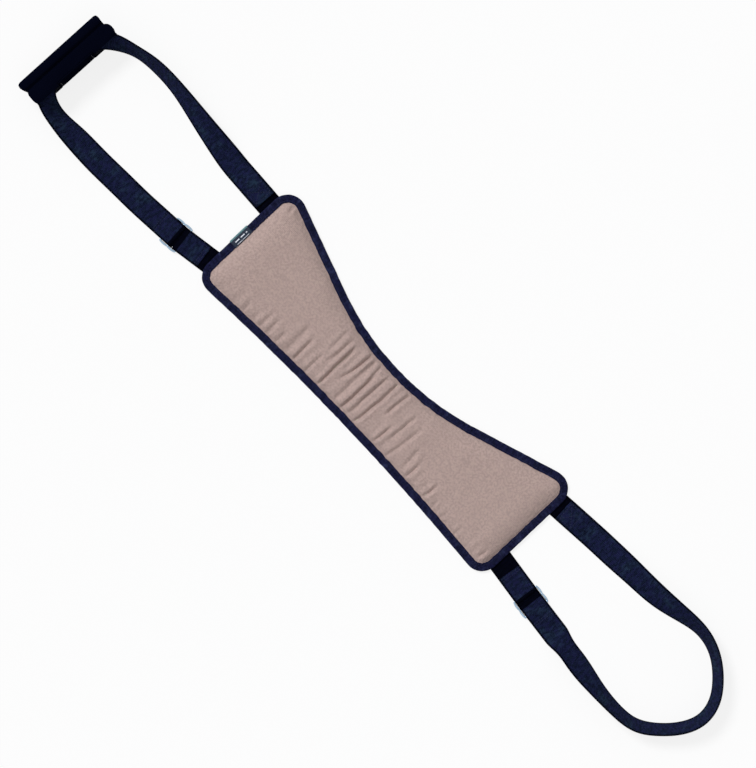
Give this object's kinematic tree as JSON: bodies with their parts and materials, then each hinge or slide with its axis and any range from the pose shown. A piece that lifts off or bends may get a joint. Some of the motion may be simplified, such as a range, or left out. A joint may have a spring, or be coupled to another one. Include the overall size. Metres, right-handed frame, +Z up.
{
  "type": "gait belt",
  "caption": "Padded hourglass transfer belt with an adjustable webbing loop at each end; one loop has a padded grip that closes over the strap.",
  "frame": {"origin": "middle of the pad's length on the centreline of its ends, on the floor plane that the belt lies on", "axes": "+X along the pad towards the plain loop, +Y towards the pad's curved long edge, +Z up out of the pad's front face"},
  "size_m": [1.3615, 0.1965, 0.042],
  "materials": {
    "pad_fabric": "brushed mauve-taupe pile cloth",
    "back_cloth": "plain woven navy lining",
    "foam": null,
    "binding_tape": "ribbed navy binding tape",
    "webbing": "woven navy webbing with a ribbed face",
    "label_cloth": "satin woven label, plain pale stripes",
    "thread": "bonded sewing thread",
    "plated_metal": "nickel-plated, polished",
    "grip_cloth": "near-black tightly woven cloth",
    "closing_tape": "hook-and-loop tape"
  },
  "bodies": {
    "pad": {"front_cover": "pad_fabric", "foam_core": "foam", "back_cover": "back_cloth", "edge_binding": "binding_tape", "woven_label": "label_cloth", "sewn_end_grip_curved": "webbing", "sewn_end_grip_straight": "webbing", "sewn_end_plain_curved": "webbing", "sewn_end_plain_straight": "webbing", "box_stitches": "thread"},
    "grip_loop": {"grip_anchor_tab": "webbing", "grip_anchor_loop": "webbing", "grip_slider": "plated_metal", "grip_loop_webbing": "webbing", "grip_loop_stitches": "thread", "grip_cover": "grip_cloth", "grip_foam": "foam", "grip_lining": "back_cloth", "grip_loop_strip": "closing_tape"},
    "flap": {"grip_flap": "grip_cloth", "grip_hook_strip": "closing_tape"},
    "plain_loop": {"plain_anchor_tab": "webbing", "plain_anchor_loop": "webbing", "plain_slider": "plated_metal", "plain_loop_webbing": "webbing", "plain_loop_stitches": "thread"}
  },
  "joints": [
    {"name": "grip_loop_swing", "type": "hinge", "parent": "pad", "child": "grip_loop", "pos_m": [-0.3062, 0, 0.0009], "axis": [0, 1, 0], "range_deg": [0, 90]},
    {"name": "plain_loop_swing", "type": "hinge", "parent": "pad", "child": "plain_loop", "pos_m": [0.3062, 0, 0.0009], "axis": [0, -1, 0], "range_deg": [0, 90]},
    {"name": "grip_flap_open", "type": "hinge", "parent": "grip_loop", "child": "flap", "pos_m": [-0.63801, -0.01106, 0.0407], "axis": [-0.0262, -0.9997, 0], "range_deg": [0, 170]}
  ]
}
